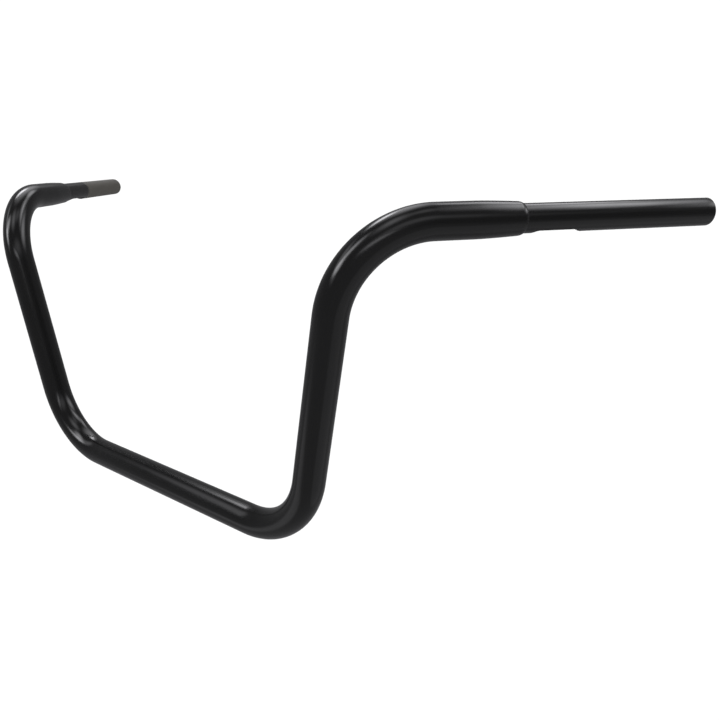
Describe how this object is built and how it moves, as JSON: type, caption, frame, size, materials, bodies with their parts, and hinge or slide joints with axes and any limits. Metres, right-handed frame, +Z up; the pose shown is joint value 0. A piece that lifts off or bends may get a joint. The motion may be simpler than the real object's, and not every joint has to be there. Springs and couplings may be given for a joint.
{
  "type": "ape hanger handlebar",
  "caption": "Tall black motorcycle handlebar: wide clamp section, two leaning risers and swept-back slimmer grip tubes with wiring dimples.",
  "frame": {"origin": "middle of the clamp section, on the tube's axis", "axes": "+X along the clamp section to the bike's right, +Y forward, +Z up; the risers stand in the XZ plane"},
  "size_m": [0.9768, 0.3085, 0.343],
  "materials": {
    "black_paint": "gloss"
  },
  "bodies": {
    "root": {"main_tube": "black_paint", "left_grip_tube": "black_paint", "right_grip_tube": "black_paint"}
  },
  "joints": []
}
